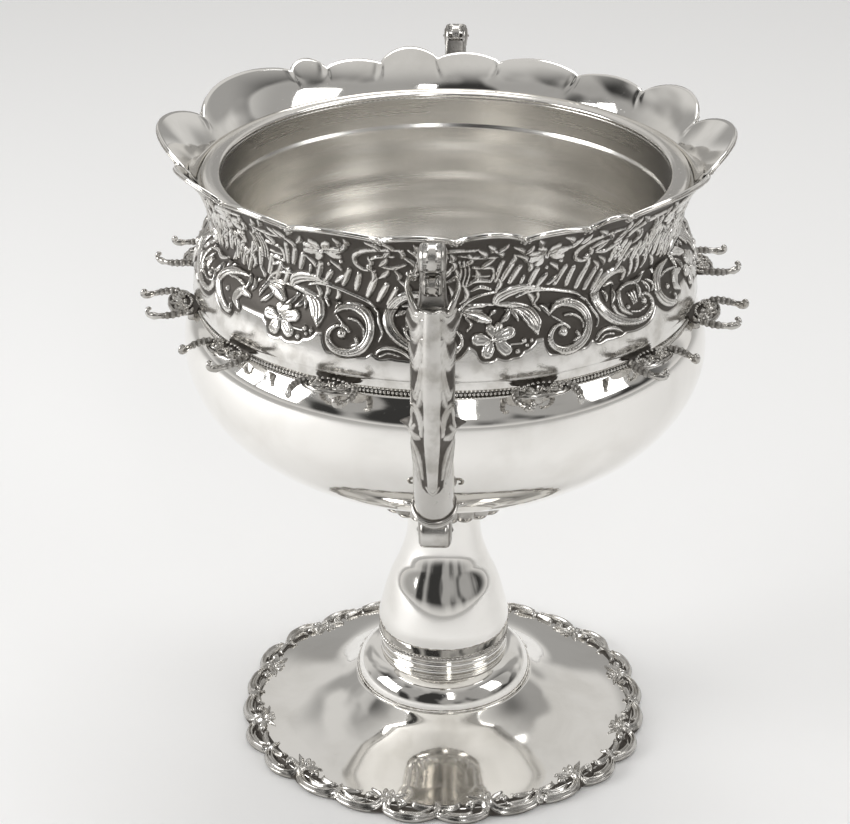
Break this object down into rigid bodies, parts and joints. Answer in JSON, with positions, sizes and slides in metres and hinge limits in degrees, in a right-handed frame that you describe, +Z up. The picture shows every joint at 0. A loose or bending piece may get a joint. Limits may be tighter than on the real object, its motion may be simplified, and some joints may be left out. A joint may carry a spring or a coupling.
{
  "type": "punch bowl",
  "caption": "Tall footed silver punch bowl with a chased floral band, scalloped flared rim, lift-out liner, cup hooks round the shoulder and scroll handles.",
  "frame": {"origin": "on the table, under the centre of the foot", "axes": "+Z up; the two handles stand on the Y axis; X is across the bowl between the handles"},
  "size_m": [0.3448, 0.381, 0.3845],
  "materials": {
    "polished_silver": "mirror polished silver plate, faint wiping marks",
    "chased_silver": "polished repousse silver with dark oxide in the recesses",
    "cast_silver": "cast silver, bright on the high points and dark in the recesses",
    "liner_silver": "spun silver plate, concentric fine lines, slightly dulled",
    "inner_steel": "plain turned steel",
    "brass_nut": "plain machined brass"
  },
  "bodies": {
    "bowl": {"foot_plate": "polished_silver", "foot_border": "cast_silver", "foot_dome": "polished_silver", "base_moulding": "polished_silver", "knurled_wire": "cast_silver", "stem": "polished_silver", "stem_collar": "cast_silver", "bowl_shell": "polished_silver", "bead_wire": "cast_silver", "band_shell": "chased_silver", "rim_border": "cast_silver", "liner_seat": "chased_silver", "stud_plate": "polished_silver", "tie_rod": "inner_steel", "foot_washer": "inner_steel", "foot_nut": "brass_nut", "cup_hook_01": "cast_silver", "cup_hook_02": "cast_silver", "cup_hook_03": "cast_silver", "cup_hook_04": "cast_silver", "cup_hook_05": "cast_silver", "cup_hook_06": "cast_silver", "cup_hook_07": "cast_silver", "cup_hook_08": "cast_silver", "cup_hook_09": "cast_silver", "cup_hook_10": "cast_silver", "cup_hook_11": "cast_silver", "cup_hook_12": "cast_silver", "front_handle_grip": "polished_silver", "front_handle_cuff": "polished_silver", "front_handle_curl": "cast_silver", "front_handle_leaf": "cast_silver", "front_handle_scroll": "cast_silver", "front_handle_bracket": "polished_silver", "rear_handle_grip": "polished_silver", "rear_handle_cuff": "polished_silver", "rear_handle_curl": "cast_silver", "rear_handle_leaf": "cast_silver", "rear_handle_scroll": "cast_silver", "rear_handle_bracket": "polished_silver"},
    "liner": {"liner": "liner_silver", "liner_lip": "liner_silver"}
  },
  "joints": [
    {"name": "liner_lift", "type": "slide", "parent": "bowl", "child": "liner", "axis": [0, 0, 1], "range_m": [0, 0.215]}
  ]
}
